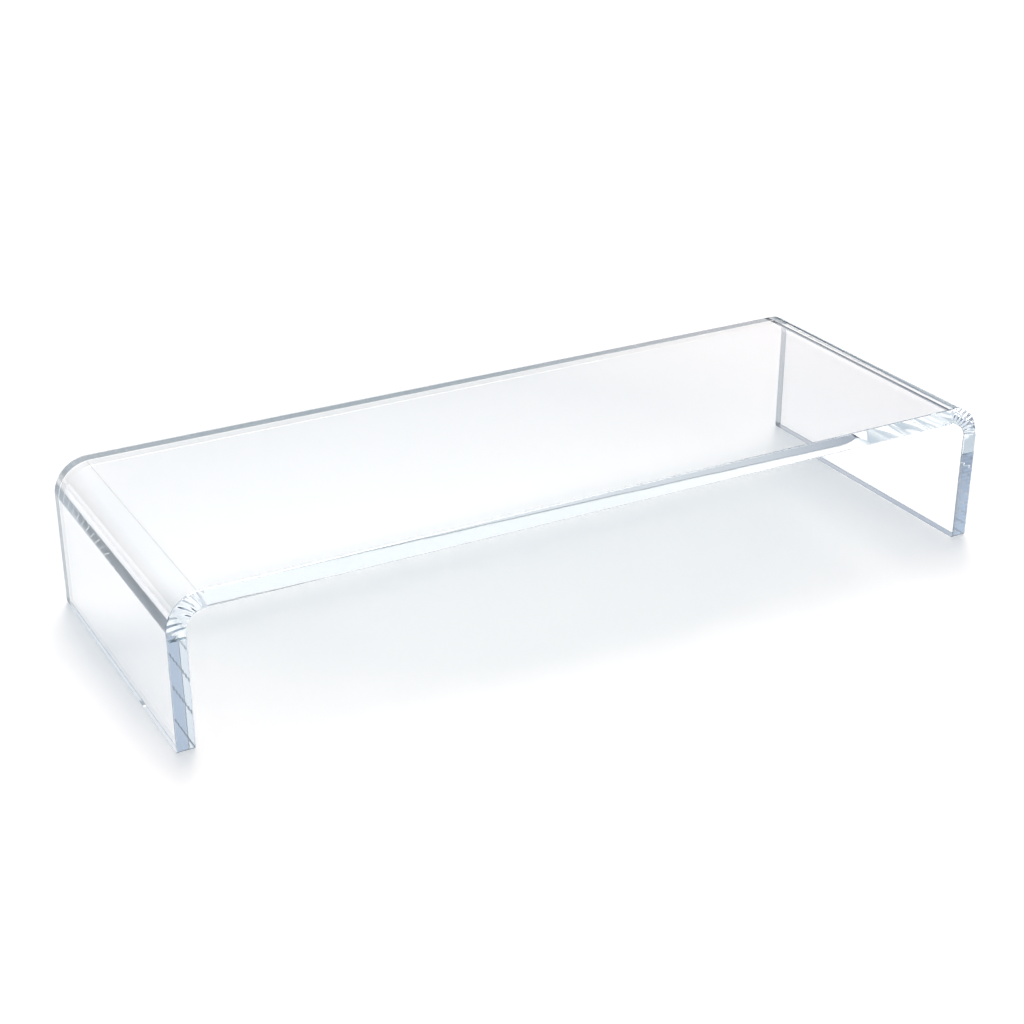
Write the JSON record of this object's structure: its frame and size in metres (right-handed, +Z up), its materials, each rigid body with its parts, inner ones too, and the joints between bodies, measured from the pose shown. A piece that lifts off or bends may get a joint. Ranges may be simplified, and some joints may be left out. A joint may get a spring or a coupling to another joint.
{
  "type": "monitor riser stand",
  "caption": "Low bridge-shaped riser stand bent from thick clear acrylic sheet: flat deck for a monitor, rounded bends and upright side legs, open at front and back.",
  "frame": {"origin": "centre of the footprint, on the surface the legs stand on", "axes": "+X along the long side of the deck, +Y from front to back, +Z up"},
  "size_m": [0.5, 0.18, 0.086],
  "materials": {
    "clear_acrylic": "polished"
  },
  "bodies": {
    "root": {"riser_sheet": "clear_acrylic"}
  },
  "joints": []
}
